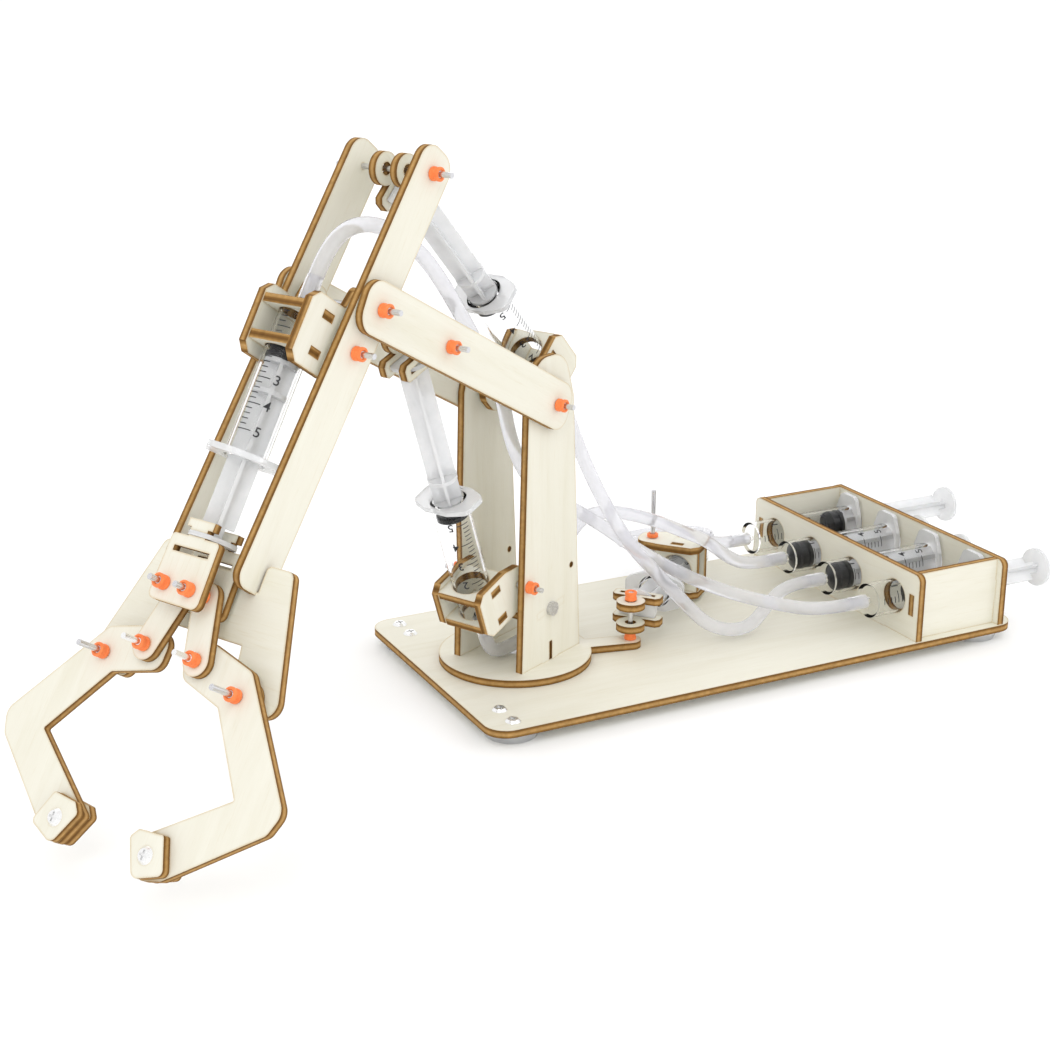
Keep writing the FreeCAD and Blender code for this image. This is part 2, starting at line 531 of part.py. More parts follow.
h3, h5 = in_box(p3), in_box(p5)
grip_box_edge = [(54, 7), (57, 10), (75, 10), (78, 7), (78, -8, 2), (h5[0] + 5, h5[1] - 5, 4),
                 (h3[0] - 5, h3[1] - 5, 4), (h3[0] - 5, -8, 3), (54, -6, 1)]
gbox = box(grip_box_edge, [circle(h3[0], h3[1], RUN_R), circle(h5[0], h5[1], ROD_R)], BOX_S, 9.5)
keep_arm("gripper_box", placed(gbox, axis_o, grip_u, grip_w))
barrel_at = axis_o + grip_u * (FRONT_S + BARREL_L)
diagonal = unit(Y + grip_w)
keep_arm("gripper_barrel", placed(barrel(), barrel_at, grip_u * -1, diagonal))
keep_arm("gripper_plunger", placed(plunger(), axis_o + grip_u * DISC_S, grip_u * -1, Y))
keep_arm("gripper_piston", placed(piston(), axis_o + grip_u * DISC_S, grip_u * -1, Y))

fore_pins = [pin(flat(p, 0), Y, TOWER_OUT + FORE_OUT, TOWER_OUT + HAIR) for p in (p4, p5)]
keep_arm("forearm_pins", Part.makeCompound(fore_pins))


def grip_point(y, s, w):
    return grip_o + V(0, -y, 0) + grip_u * s + grip_w * w


pivots = []
for s in (-1, 1):
    at = grip_point(s * JAW_PIVOT[0], JAW_PIVOT[1], 0)
    washer = rod(at, grip_w, -1.48, 0.9, 6.0)
    pivots.append(fuse(rod(at, grip_w, -6.5, 16.5), washer, collar(at, grip_w, JAW_W + PLY + 0.3)))
keep_arm("jaw_pivot_pins", Part.makeCompound(pivots))

# Yoke: two plates that clasp the thumb disc, carrying the links' pins.
yoke_edge = [(-5.5, 133.5), (5.5, 133.5), (5.5, 136.2), (3.6, 136.2), (3.6, 139.2), (10.2, 139.2, 1.5),
             (10.8, 161.0, 2.5), (-10.8, 161.0, 2.5), (-10.2, 139.2, 1.5), (-3.6, 139.2), (-3.6, 136.2),
             (-5.5, 136.2)]
yoke_holes = [circle(s * YOKE_PIN[0], YOKE_PIN[1], ROD_R) for s in (-1, 1)]
yoke_holes.append(rect(0, 143.9, 15.2, THUMB_T + 0.3))
disc_slot = sheet(rect(0, DISC_S, 16.4, THUMB_T + 0.1))
yoke_plate = sheet(outline(yoke_edge), yoke_holes).cut(disc_slot)
keep_arm("yoke", Part.makeCompound([on_grip(yoke_plate, w) for w in (YOKE_W, REAR_W)]))
link_across, link_along = LINK_PIN[0] - YOKE_PIN[0], LINK_PIN[1] - YOKE_PIN[1]
yoke_pins = []
for s in (-1, 1):
    at = grip_point(s * YOKE_PIN[0], YOKE_PIN[1], 0)
    spacer = collar(at, grip_w, LINK_W + PLY + 0.2, YOKE_W - LINK_W - PLY - 0.2 - HAIR)
    yoke_pins.append(fuse(rod(at, grip_w, REAR_W, 22.0), collar(at, grip_w, YOKE_W + PLY + HAIR), spacer))
keep_arm("yoke_pins", Part.makeCompound(yoke_pins))

# Links and jaws, mirrored about the middle.
link_l = math.hypot(link_across, link_along)
link_deg = math.degrees(math.atan2(link_along, link_across))
jaw_edge = [(11.5, 167.6, 3), (31.5, 172.6, 4), (61.5, 208.5, 5), (58.5, 216, 4), (27.0, 239.5, 3),
            (18.2, 242.0, 3), (11.8, 230.5, 1.5), (42.5, 210.0, 0.6), (23.6, 186.0, 1.5),
            (4.8, 181.0, 4.5), (4.4, 171.4, 5)]
pad_edge = [(14.4, 227.4, 1), (24.4, 226.6, 1), (29.6, 237.6, 2), (18.2, 242.0, 3), (11.8, 230.5, 1.5)]
for s, hand in ((1, "left"), (-1, "right")):
    link_holes = [circle(0, 0, RUN_R), circle(link_l, 0, ROD_R)]
    link = sheet(rect(link_l / 2, 0, link_l + 10.0, 10.0, 0, 4.9), link_holes)
    link.rotate(V(0, 0, 0), Z, link_deg)
    link.translate(V(YOKE_PIN[0], YOKE_PIN[1], 0))
    jaw_holes = [circle(JAW_PIVOT[0], JAW_PIVOT[1], RUN_R), circle(LINK_PIN[0], LINK_PIN[1], LOOSE_R)]
    jaw = sheet(outline(jaw_edge), jaw_holes)
    pads = [placed(sheet(outline(pad_edge)), Z * lift, X, Y) for lift in (PLY, -PLY)]
    jaw = fuse(jaw, *pads, crosshead(V(TIP_SCREW[0], TIP_SCREW[1], 2 * PLY), SCREW_HEAD_R, 1.1))
    if s < 0:
        link = link.mirror(V(0, 0, 0), X)
        jaw = jaw.mirror(V(0, 0, 0), X)
    link_at = grip_point(s * LINK_PIN[0], LINK_PIN[1], 0)
    stud = fuse(rod(link_at, grip_w, JAW_W + 0.2, 17.5), collar(link_at, grip_w, LINK_W + PLY + HAIR))
    keep_arm("link_" + hand, Part.makeCompound([on_grip(link, LINK_W), stud]))
    keep_arm("jaw_" + hand, on_grip(jaw, JAW_W))

# ---- tubes: straight runs joined by tangent arcs, from nozzle tip to nozzle tip -----------------
ROUTES = {
    "tube_gripper": [
        (-94.52, -47.95, 168.28), (-90.04, -45.68, 175.64), (-80.71, -40.94, 182.0), (-69.12, -35.06, 181.5),
        (-57.52, -29.18, 176.0), (-45.93, -23.3, 166.5), (-37.46, -19.0, 156.0), (-29.43, -14.93, 144.5),
        (-20.96, -10.63, 131.5), (-12.04, -6.11, 119.5), (-6.42, -3.26, 106.0), (-3.12, -1.58, 92.0),
        (2.68, 1.36, 79.0), (11.15, 5.66, 68.0), (21.4, 10.86, 59.5), (33.0, 16.74, 52.5), (45.0, 15.5, 44.5),
        (57.0, 5.5, 34.5), (70.0, -6.5, 26.0), (84.5, -19.0, 19.5), (100.0, -32.5, 16.2),
        (113.0, -43.5, 15.0), (126.95, -43.5, 15.0)],
    "tube_elbow": [
        (22.72, 11.52, 102.67), (28.9, 14.6, 95.5), (33.5, 14.5, 82.5), (38.0, 11.0, 68.5), (43.5, 5.5, 54.0),
        (50.0, -0.5, 40.0), (58.5, -8.2, 28.6), (67.0, -16.2, 17.2), (75.0, -21.0, 7.8), (85.5, -23.5, 4.0),
        (96.0, -22.0, 4.0), (106.3, -17.4, 9.2), (116.5, -14.5, 15.0), (126.95, -14.5, 15.0)],
    "tube_shoulder": [
        (-17.39, -8.83, 16.31), (-15.95, -8.09, 11.66), (-12.8, -6.5, 8.1), (-8.0, -4.05, 6.2),
        (1.8, 0.93, 6.1), (12.4, 6.3, 6.3), (22.0, 11.2, 10.6), (27.6, 14.1, 20.2), (29.0, 15.2, 31.4),
        (34.4, 19.8, 40.4), (44.5, 24.6, 45.0), (56.0, 27.6, 44.0), (67.5, 28.4, 40.8), (78.5, 25.8, 37.0),
        (89.0, 21.6, 32.0), (98.8, 17.2, 27.6), (107.8, 14.6, 19.4), (117.0, 14.0, 15.0),
        (126.95, 14.0, 15.0)],
    "tube_turn": [
        (116.19, 48.34, 13.5), (125.7, 56.3, 13.5), (128.6, 68.6, 11.0), (123.8, 80.2, 8.6),
        (112.8, 86.6, 7.2), (100.0, 85.5, 7.8), (90.3, 77.2, 10.3), (87.2, 64.8, 13.8), (92.9, 53.4, 17.3),
        (103.5, 49.6, 20.0), (111.2, 44.9, 20.0), (118.4, 42.0, 15.0), (126.95, 42.0, 15.0)],
}


def tube(points):
    """Solid tube and its least bend radius."""
    pts = [V(*p) for p in points]
    edges = []
    last = pts[0]
    least = 1e9
    length = 0.0
    for a, b, c in zip(pts, pts[1:], pts[2:]):
        u, w = unit(b - a), unit(c - b)
        turn = u.getAngle(w)
        reach = 0.45 * min((b - a).Length, (c - b).Length)
        radius = reach / math.tan(turn / 2)
        least = min(least, radius)
        mid = b + unit(w - u) * (radius / math.cos(turn / 2) - radius)
        edges.append(Part.LineSegment(last, b - u * reach).toShape())
        edges.append(Part.Arc(b - u * reach, mid, b + w * reach).toShape())
        last = b + w * reach
    edges.append(Part.LineSegment(last, pts[-1]).toShape())
    path = Part.Wire(edges)
    start = Part.Wire(Part.makeCircle(TUBE_R, pts[0], unit(pts[1] - pts[0])))
    solid = path.makePipeShell([start], True, False)
    wanted = math.pi * TUBE_R ** 2 * path.Length
    return solid, least, path.Length, solid.Volume / wanted


cords = {}
for name, route in ROUTES.items():
    cords[name], least, length, ratio = tube(route)
    print(name, "least radius %.1f, length %.1f, volume ratio %.4f" % (least, length, ratio))

# ---- move to the bottom centre of the bounding box, write and report ----------------------------
bounds = FreeCAD.BoundBox()
for shape in nodes.values():
    bounds.add(shape.BoundBox)
shift = V(-(bounds.XMin + bounds.XMax) / 2, -(bounds.YMin + bounds.YMax) / 2, -bounds.ZMin)
print("bounds", bounds.XLength, bounds.YLength, bounds.ZLength)
print("turntable axis on the board at", shift.x, shift.y, shift.z)

os.makedirs("parts", exist_ok=True)
nodes.update(cords)
for name, shape in nodes.items():
    moved = shape.copy()
    moved.translate(shift)
    moved.exportStep("parts/%s.step" % name)
print("nodes", len(nodes))
for name, shape in nodes.items():
    if not shape.isValid() or shape.Volume <= 0:
        print("BAD", name, shape.isValid(), shape.Volume)
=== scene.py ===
import json
import math

import bpy
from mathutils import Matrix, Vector


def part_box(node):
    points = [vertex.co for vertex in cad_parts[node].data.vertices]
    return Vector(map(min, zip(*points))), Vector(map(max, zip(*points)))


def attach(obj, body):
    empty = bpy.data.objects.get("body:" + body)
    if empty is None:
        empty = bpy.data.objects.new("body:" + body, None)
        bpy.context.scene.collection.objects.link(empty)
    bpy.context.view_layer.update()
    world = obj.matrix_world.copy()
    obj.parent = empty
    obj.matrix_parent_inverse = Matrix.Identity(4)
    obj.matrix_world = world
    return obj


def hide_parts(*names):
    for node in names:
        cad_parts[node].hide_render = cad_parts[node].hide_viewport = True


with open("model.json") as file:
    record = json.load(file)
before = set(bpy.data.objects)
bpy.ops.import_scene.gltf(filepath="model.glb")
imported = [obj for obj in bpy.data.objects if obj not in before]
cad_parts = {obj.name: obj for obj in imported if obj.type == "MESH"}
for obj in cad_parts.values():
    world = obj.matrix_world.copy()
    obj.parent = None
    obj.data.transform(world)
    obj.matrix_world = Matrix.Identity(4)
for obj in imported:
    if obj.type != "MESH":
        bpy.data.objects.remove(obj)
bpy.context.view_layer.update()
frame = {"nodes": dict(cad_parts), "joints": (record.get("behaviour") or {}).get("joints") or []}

# Looks of a hydraulic robot arm kit: laser-cut birch plywood, clear syringes and tubes, steel rods
# with silicone collars.
MM = 0.001
X, Y, Z = Vector((1, 0, 0)), Vector((0, 1, 0)), Vector((0, 0, 1))

# ---- driving dimensions, in millimetres unless said -----------------------------------------
PLY = 3.0                       # plywood thickness
ROD_SHOWS = 1.3                 # radius beyond which a pin's surface is a silicone collar
WASHER_SHOWS = 4.0              # radius beyond which it is a plywood washer
FLAT = 0.985                    # cosine between a normal and its plate's, above which it is a face
FLANGE_T = 2.1                  # how deep the finger flange reaches from the barrel's open end
DIGIT_H = 4.6                   # printed numerals
BARREL_R = 7.0
NOZZLE_L = 10.0
NOZZLE_R = 2.0
ML_TRAVEL = 8.75                # piston travel for one millilitre
TUBE_R = 2.7
SLEEVE_L = {"turn": 3.4}        # the others reach almost to the barrel
CAMERA_AT = (-295.0, -595.2, 282.2)   # from the turntable axis at the board's top
CAMERA_AZIMUTH, CAMERA_ELEVATION = -26.8, 18.97
LENS = 62.32

screw_lo, screw_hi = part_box("turntable_screw")
board_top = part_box("base_board")[1].z
DATUM = Vector(((screw_lo.x + screw_hi.x) / 2, (screw_lo.y + screw_hi.y) / 2, board_top))
JOINTS = {j["name"]: j for j in frame["joints"]}
NODES = frame["nodes"]


def at(p):
    """Point given in mm from the turntable axis at the board's top."""
    return DATUM + Vector(p) * MM


def joint_axis(name):
    return Vector(JOINTS[name]["axis"]).normalized()


def joint_at(name):
    return Vector(JOINTS[name]["pos_m"])


ACROSS = -joint_axis("boom_lift")       # the arm's own across direction, towards the near side
GRIP_U = joint_axis("grip")
GRIP_W = joint_axis("jaw_left_swing")


# ---- node helpers ---------------------------------------------------------------------------
class Shader:
    """A Principled material and short ways to add nodes to it."""

    def __init__(self, name, **values):
        self.mat = bpy.data.materials.new(name)
        self.mat.use_nodes = True
        self.tree = self.mat.node_tree
        self.bsdf = self.tree.nodes["Principled BSDF"]
        for key, value in values.items():
            self.bsdf.inputs[key.replace("_", " ")].default_value = value
        self.place = self.node("ShaderNodeTexCoord").outputs["Object"]

    def node(self, kind, **inputs):
        made = self.tree.nodes.new(kind)
        for key, value in inputs.items():
            self.feed(made, key.replace("_", " "), value)
        return made

    def feed(self, made, key, value):
        if isinstance(value, bpy.types.NodeSocket):
            self.tree.links.new(value, made.inputs[key])
        else:
            made.inputs[key].default_value = value

    def math(self, operation, a, b=0.0, clamp=False):
        made = self.tree.nodes.new("ShaderNodeMath")
        made.operation = operation
        made.use_clamp = clamp
        self.feed(made, 0, a)
        self.feed(made, 1, b)
        return made.outputs[0]

    def dot(self, a, direction):
        made = self.tree.nodes.new("ShaderNodeVectorMath")
        made.operation = "DOT_PRODUCT"
        self.feed(made, 0, a)
        self.feed(made, 1, direction if isinstance(direction, bpy.types.NodeSocket) else tuple(direction))
        return made.outputs["Value"]

    def stretched(self, u, v, w, scale):
        """Object place along three directions, each with its own scale per metre."""
        made = self.node("ShaderNodeCombineXYZ")
        for key, direction, s in zip("XYZ", (u, v, w), scale):
            self.feed(made, key, self.math("MULTIPLY", self.dot(self.place, direction), s))
        return made.outputs[0]

    def noise(self, vector, scale, detail=3.0, roughness=0.55, distortion=0.0):
        made = self.node("ShaderNodeTexNoise", Vector=vector, Scale=scale, Detail=detail,
                         Roughness=roughness, Distortion=distortion)
        return made.outputs["Fac"]

    def ramp(self, fac, stops):
        made = self.node("ShaderNodeValToRGB", Fac=fac)
        ramp = made.color_ramp
        while len(ramp.elements) < len(stops):
            ramp.elements.new(0.5)
        for element, (position, colour) in zip(ramp.elements, stops):
            element.position = position
            element.color = (*colour, 1.0) if len(colour) == 3 else colour
        return made.outputs["Color"]

    def mix(self, fac, a, b, blend="MIX"):
        made = self.tree.nodes.new("ShaderNodeMix")
        made.data_type = "RGBA"
        made.blend_type = blend
        self.feed(made, 0, fac)
        self.feed(made, 6, (*a, 1.0) if isinstance(a, tuple) else a)
        self.feed(made, 7, (*b, 1.0) if isinstance(b, tuple) else b)
        return made.outputs[2]

    def near_edge(self, reach):
        """0 on open surface, rising to about 1 at an edge of the same piece."""
        bevel = self.node("ShaderNodeBevel", Radius=reach)
        bevel.samples = 6
        flat = self.node("ShaderNodeNewGeometry").outputs["Normal"]
        turn = self.math("SUBTRACT", 1.0, self.dot(bevel.outputs["Normal"], flat))
        return self.math("MULTIPLY", turn, 3.4, clamp=True)

    def set(self, **links):
        for key, value in links.items():
            self.feed(self.bsdf, key.replace("_", " "), value)

    def bump(self, height, strength, distance):
        made = self.node("ShaderNodeBump", Height=height, Strength=strength, Distance=distance)
        self.set(Normal=made.outputs["Normal"])


# ---- materials ------------------------------------------------------------------------------
def ply_face(name, grain, cross, normal):
    """Pale rotary-cut birch: long soft grain, short pores and faint yellow laser haze."""
    s = Shader(name, Roughness=0.55, Specular_IOR_Level=0.35)
    flow = s.stretched(grain, cross, normal, (14.0, 130.0, 60.0))
    pores = s.stretched(grain, cross, normal, (90.0, 1500.0, 300.0))
    wide = s.noise(flow, 1.0, 5.0, 0.6, 0.6)
    fine = s.noise(pores, 1.0, 2.0, 0.7)
    smoke = s.noise(s.place, 70.0, 3.0)
    body = s.ramp(wide, [(0.25, (0.74, 0.71, 0.59)), (0.5, (0.78, 0.755, 0.65)), (0.78, (0.81, 0.79, 0.69))])
    flecks = s.ramp(fine, [(0.30, (0.80, 0.70, 0.52)), (0.42, (1, 1, 1))])
    colour = s.mix(0.16, body, flecks, "MULTIPLY")
    # laser scorch: strongest right at a cut, fading within a millimetre or two
    haze = s.math("MULTIPLY", s.near_edge(0.0016), s.math("ADD", smoke, 0.15), clamp=True)
    colour = s.mix(haze, colour, (0.52, 0.35, 0.11))
    s.set(Base_Color=colour, Roughness=s.math("ADD", s.math("MULTIPLY", fine, 0.2), 0.42))
    s.bump(fine, 0.25, 0.00012)
    return s.mat


def ply_edge(name, normal, offset):
    """Laser-burnt edge: three veneers, the middle one lighter, with fine vertical soot streaks."""
    s = Shader(name, Roughness=0.8, Specular_IOR_Level=0.2)
    depth = s.math("MULTIPLY", s.math("SUBTRACT", s.dot(s.place, normal), offset), 1000.0 / PLY)
    depth = s.math("FRACT", s.math("ADD", depth, 100.0))
    layers = s.ramp(depth, [(0.0, (0.17, 0.080, 0.016)), (0.24, (0.34, 0.185, 0.050)),
                            (0.36, (0.54, 0.33, 0.125)), (0.62, (0.48, 0.28, 0.095)),
                            (0.74, (0.26, 0.13, 0.030)), (1.0, (0.15, 0.068, 0.014))])
    soot = s.noise(s.place, 420.0, 3.0, 0.7)
    smoke = s.noise(s.place, 60.0, 2.0)
    streaks = s.ramp(soot, [(0.3, (0.55, 0.50, 0.45)), (0.7, (1.15, 1.12, 1.08))])
    colour = s.mix(0.6, layers, streaks, "MULTIPLY")
    colour = s.mix(s.math("MULTIPLY", smoke, 0.2), colour, (0.08, 0.04, 0.015))
    s.set(Base_Color=colour)
    s.bump(soot, 0.4, 0.0002)
    return s.mat


def clear_plastic(name, milk, roughness, index, dark, light):
    """Moulded plastic: lets light through, a little milky, with faint flow lines."""
    s = Shader(name, Roughness=roughness, IOR=index, Transmission_Weight=1.0 - milk, Specular_IOR_Level=0.5)
    flow = s.noise(s.place, 240.0, 2.0)
    s.set(Base_Color=s.ramp(flow, [(0.3, dark), (0.7, light)]))
    s.bump(flow, 0.02, 0.0002)
    return s.mat


def soft_rubber(name, dark, light, scale, roughness):
    """Matt rubber, silicone or ink with a fine speckle; scale is the specks' per metre."""
    s = Shader(name, Roughness=roughness, Specular_IOR_Level=0.4)
    speck = s.noise(s.place, scale, 3.0, 0.65)
    s.set(Base_Color=s.ramp(speck, [(0.3, dark), (0.7, light)]),
          Roughness=s.math("ADD", s.math("MULTIPLY", speck, 0.25), roughness - 0.1))
    s.bump(speck, 0.2, 0.0001)
    return s.mat


WIRE = ((0.52, 0.52, 0.54), (0.80, 0.80, 0.82))
PLATED = ((0.80, 0.80, 0.80), (0.95, 0.95, 0.95))


def drawn_steel(name, along, dark=WIRE[0], light=WIRE[1]):
    """Bright metal with fine lengthways drawing marks."""
    s = Shader(name, Metallic=1.0, Roughness=0.28)
    side_a = along.orthogonal().normalized()
    marks = s.noise(s.stretched(along, side_a, along.cross(side_a), (60.0, 4000.0, 4000.0)), 1.0, 3.0, 0.6)
    s.set(Base_Color=s.ramp(marks, [(0.3, dark), (0.7, light)]),
          Roughness=s.math("ADD", s.math("MULTIPLY", marks, 0.25), 0.16))
    s.bump(marks, 0.15, 0.00005)
    return s.mat


CLEAR = ((0.97, 0.975, 0.98), (1.0, 1.0, 1.0))
MILKY = ((0.90, 0.91, 0.92), (0.96, 0.96, 0.97))
TUBE_TINT = ((0.85, 0.85, 0.88), (0.91, 0.91, 0.94))
BARREL = clear_plastic("barrel_plastic", 0.0, 0.05, 1.14, *CLEAR)
FLANGE = clear_plastic("flange_plastic", 0.55, 0.22, 1.30, *MILKY)
PLUNGER = clear_plastic("plunger_plastic", 0.60, 0.26, 1.30, *MILKY)
TUBING = clear_plastic("tube_plastic", 0.30, 0.16, 1.13, *TUBE_TINT)
FOOT = clear_plastic("foot_plastic", 0.45, 0.35, 1.30, *MILKY)
BLACK = soft_rubber("seal_rubber", (0.010, 0.010, 0.011), (0.028, 0.028, 0.030), 700.0, 0.42)
ORANGE = soft_rubber("collar_silicone", (0.90, 0.19, 0.045), (0.98, 0.27, 0.08), 500.0, 0.5)
INK = soft_rubber("printed_ink", (0.008, 0.008, 0.010), (0.03, 0.03, 0.035), 2000.0, 0.5)


# ---- which faces of a CAD node take which material ------------------------------------------
def islands(mesh):
    """Island number of each polygon, joining polygons that share a vertex place."""
    place = {}
    parent = {}

    def root(i):
        while parent[i] != i:
            parent[i] = parent[parent[i]]
            i = parent[i]
        return i

    for v in mesh.vertices:
        key = tuple(round(c * 1e6) for c in v.co)
        place[v.index] = parent.setdefault(key, key) and key
    for p in mesh.polygons:
        first = root(place[p.vertices[0]])
        for v in p.vertices[1:]:
            parent[root(place[v])] = first
    return [root(place[p.vertices[0]]) for p in mesh.polygons]


def solids_of(mesh):
    """The mesh's polygons, as one list for each separate solid."""
    groups = {}
    for p, key in zip(mesh.polygons, islands(mesh)):
        groups.setdefault(key, []).append(p)
    return groups.values()


def reach_along(places, direction):
    along = [co.dot(direction) for co in places]
    return max(along) - min(along)


def flat_width(polygons, mesh, normal):
    """Least width of a flat group of polygons, over the directions of its own edges."""
    points = {v for p in polygons for v in p.vertices}
    least = 1e9
    for p in polygons:
        for a, b in zip(p.vertices, list(p.vertices[1:]) + [p.vertices[0]]):
            edge = mesh.vertices[b].co - mesh.vertices[a].co
            if edge.length < 1e-4:
                continue
            side = edge.normalized().cross(normal)
            reach = [mesh.vertices[v].co.dot(side) for v in points]
            least = min(least, max(reach) - min(reach))
    return least


def flat_groups(mesh):
    """Polygons grouped by their own plane and by touching."""
    groups = {}
    for p in mesh.polygons:
        n = p.normal
        key = (round(n.x, 2), round(n.y, 2), round(n.z, 2), round(p.center.dot(n) / (0.05 * MM)))
        groups.setdefault(key, []).append(p)
    split = []
    for members in groups.values():
        touching = {}
        for p in members:
            keys = [tuple(round(c * 1e6) for c in mesh.vertices[v].co) for v in p.vertices]
            met = [touching[k] for k in keys if k in touching]
            joined = met[0] if met else []
            for other in met[1:]:
                if other is not joined:
                    joined.extend(x for x in other if x not in joined)
            joined.append(p)
            for q in joined:
                for v in q.vertices:
                    touching[tuple(round(c * 1e6) for c in mesh.vertices[v].co)] = joined
        split.extend({id(group): group for group in touching.values()}.values())
    return split


def node_axis(name, direction):
    """Point on the axis of a round node, level with its lowest place along direction."""
    e1 = direction.orthogonal().normalized()
    e2 = direction.cross(e1)
    points = [v.co for v in NODES[name].data.vertices]
    mid = [(min(c.dot(e) for c in points) + max(c.dot(e) for c in points)) / 2 for e in (e1, e2)]
    return e1 * mid[0] + e2 * mid[1]


def span_of(name, direction):
    reach = [v.co.dot(direction) for v in NODES[name].data.vertices]
    return min(reach), max(reach)


FACE_CACHE = {}


def ply_face_for(normal, grain):
    """Face material of a plate with that normal and grain direction, made once for each pair."""
    normal, grain = normal.normalized(), grain.normalized()
    key = tuple(round(c, 3) for c in (*normal, *grain))
    if key not in FACE_CACHE:
        tag = "ply_%d" % len(FACE_CACHE)
        FACE_CACHE[key] = ply_face(tag + "_face", grain, normal.cross(grain), normal)
    return FACE_CACHE[key]


def dress_plates(name, normals, grain):
    """Give a plywood node face and burnt-edge materials. normals: the plates' own normals."""
    mesh = NODES[name].data
    mesh.materials.clear()
    faces = []
    for n in normals:
        reach = [v.co.dot(n) for v in mesh.vertices]
        first = len(mesh.materials)
        lying = grain - n * grain.dot(n) if abs(grain.dot(n)) < 0.9 else n.orthogonal()
        mesh.materials.append(ply_face_for(n, lying))
        mesh.materials.append(ply_edge(name + "_edge_%d" % len(faces), n, min(reach)))
        faces.append((n, first))
    for group in flat_groups(mesh):
        n = group[0].normal
        best = max(faces, key=lambda f: abs(f[0].dot(n)))
        is_face = abs(best[0].dot(n)) > FLAT
        if is_face and len(normals) > 1:
            is_face = flat_width(group, mesh, n) > (PLY + 0.4) * MM
        if is_face:
            index = best[1]
        else:
            places = [mesh.vertices[v].co for p in group for v in p.vertices]
            across = [f for f in faces if abs(f[0].dot(n)) < FLAT]
            index = min(across, key=lambda f: reach_along(places, f[0]))[1] + 1
        for p in group:
            p.material_index = index


def dress(name, material):
    mesh = NODES[name].data
    mesh.materials.clear()
    mesh.materials.append(material)
    for p in mesh.polygons:
        p.material_index = 0


def dress_pins(name, direction, collar=ORANGE, bolts=()):
    """Steel rods with silicone collars on one direction; bolts: places whose heads stay steel."""
    mesh = NODES[name].data
    mesh.materials.clear()
    mesh.materials.append(drawn_steel(name + "_steel", direction))
    mesh.materials.append(collar)
    paint_pins(mesh, direction, 0, 1, bolts, lambda polygons: True)


def paint_pins(mesh, direction, steel, collar, bolts, wanted):
    """Sort the polygons of wanted solids into rod, collar and washer by radius about the solid's axis."""
    e1 = direction.orthogonal().normalized()
    e2 = direction.cross(e1)
    for polygons in solids_of(mesh):
        if not wanted(polygons):
            continue
        points = [mesh.vertices[v].co for p in polygons for v in p.vertices]
        mid = [(min(c.dot(e) for c in points) + max(c.dot(e) for c in points)) / 2 for e in (e1, e2)]
        is_bolt = any(abs(b.dot(e1) - mid[0]) < 4 * MM and abs(b.dot(e2) - mid[1]) < 4 * MM for b in bolts)
        for p in polygons:
            r = max(math.hypot(mesh.vertices[v].co.dot(e1) - mid[0], mesh.vertices[v].co.dot(e2) - mid[1])
                    for v in p.vertices)
            if is_bolt or r < ROD_SHOWS * MM:
                p.material_index = steel
            elif r < WASHER_SHOWS * MM:
                p.material_index = collar
            else:
                p.material_index = collar + (1 if abs(p.normal.dot(direction)) > 0.5 else 2)


# ---- carried-over CAD nodes -----------------------------------------------------------------
BOOM_U = (joint_at("elbow_swing") - joint_at("boom_lift")).normalized()
SYRINGES = {"turn": "turn_rod_slide", "shoulder": "shoulder_rod_slide", "elbow": "elbow_rod_slide"}

dress_plates("base_board", [Z], X)
for wall in ("control_front_wall", "control_rear_wall"):
    dress_plates(wall, [X], Y)
for wall in ("control_near_wall", "control_far_wall"):
    dress_plates(wall, [Y], X)
dress_plates("turntable_disc", [Z], X)
for tower in ("tower_near", "tower_far"):
    dress_plates(tower, [ACROSS], Z)
dress_plates("tower_brace", [Z], ACROSS)
for boom in ("boom_near", "boom_far"):
    dress_plates(boom, [ACROSS], BOOM_U)
for bar in ("bar_near", "bar_far"):
    dress_plates(bar, [ACROSS], GRIP_U)
dress_plates("gripper_base", [GRIP_W], ACROSS)
dress_plates("gripper_box", [ACROSS, GRIP_U], GRIP_U)
dress_plates("yoke", [GRIP_W], GRIP_U)
for kind, joint in SYRINGES.items():
    u = joint_axis(joint)
    sideways = Z if kind == "turn" else ACROSS
    dress_plates(kind + "_box", [sideways, u], u)
    dress_plates(kind + "_clevis", [sideways], u)

dress("feet", FOOT)
SCREW = drawn_steel("screw_steel", Z, *PLATED)
dress("corner_screws", SCREW)
dress("turntable_screw", SCREW)


def dress_barrel(name, direction):
    """Clear body with a milkier finger flange at its open end."""
    dress(name, BARREL)
    mesh = NODES[name].data
    mesh.materials.append(FLANGE)
    open_end = min(v.co.dot(direction) for v in mesh.vertices)
    middle = node_axis(name, direction)
    for p in mesh.polygons:
        off = p.center - middle
        radius = (off - direction * off.dot(direction)).length
        if p.center.dot(direction) - open_end < FLANGE_T * MM and radius > (BARREL_R - 0.3) * MM:
            p.material_index = 1


for i in range(1, 5):
    dress_barrel("control_barrel_%d" % i, -X)
    dress("control_plunger_%d" % i, PLUNGER)
for kind in (*SYRINGES, "gripper"):
    dress_barrel(kind + "_barrel", -joint_axis(SYRINGES[kind]) if kind in SYRINGES else -GRIP_U)
    dress(kind + "_plunger", PLUNGER)
    dress(kind + "_piston", BLACK)

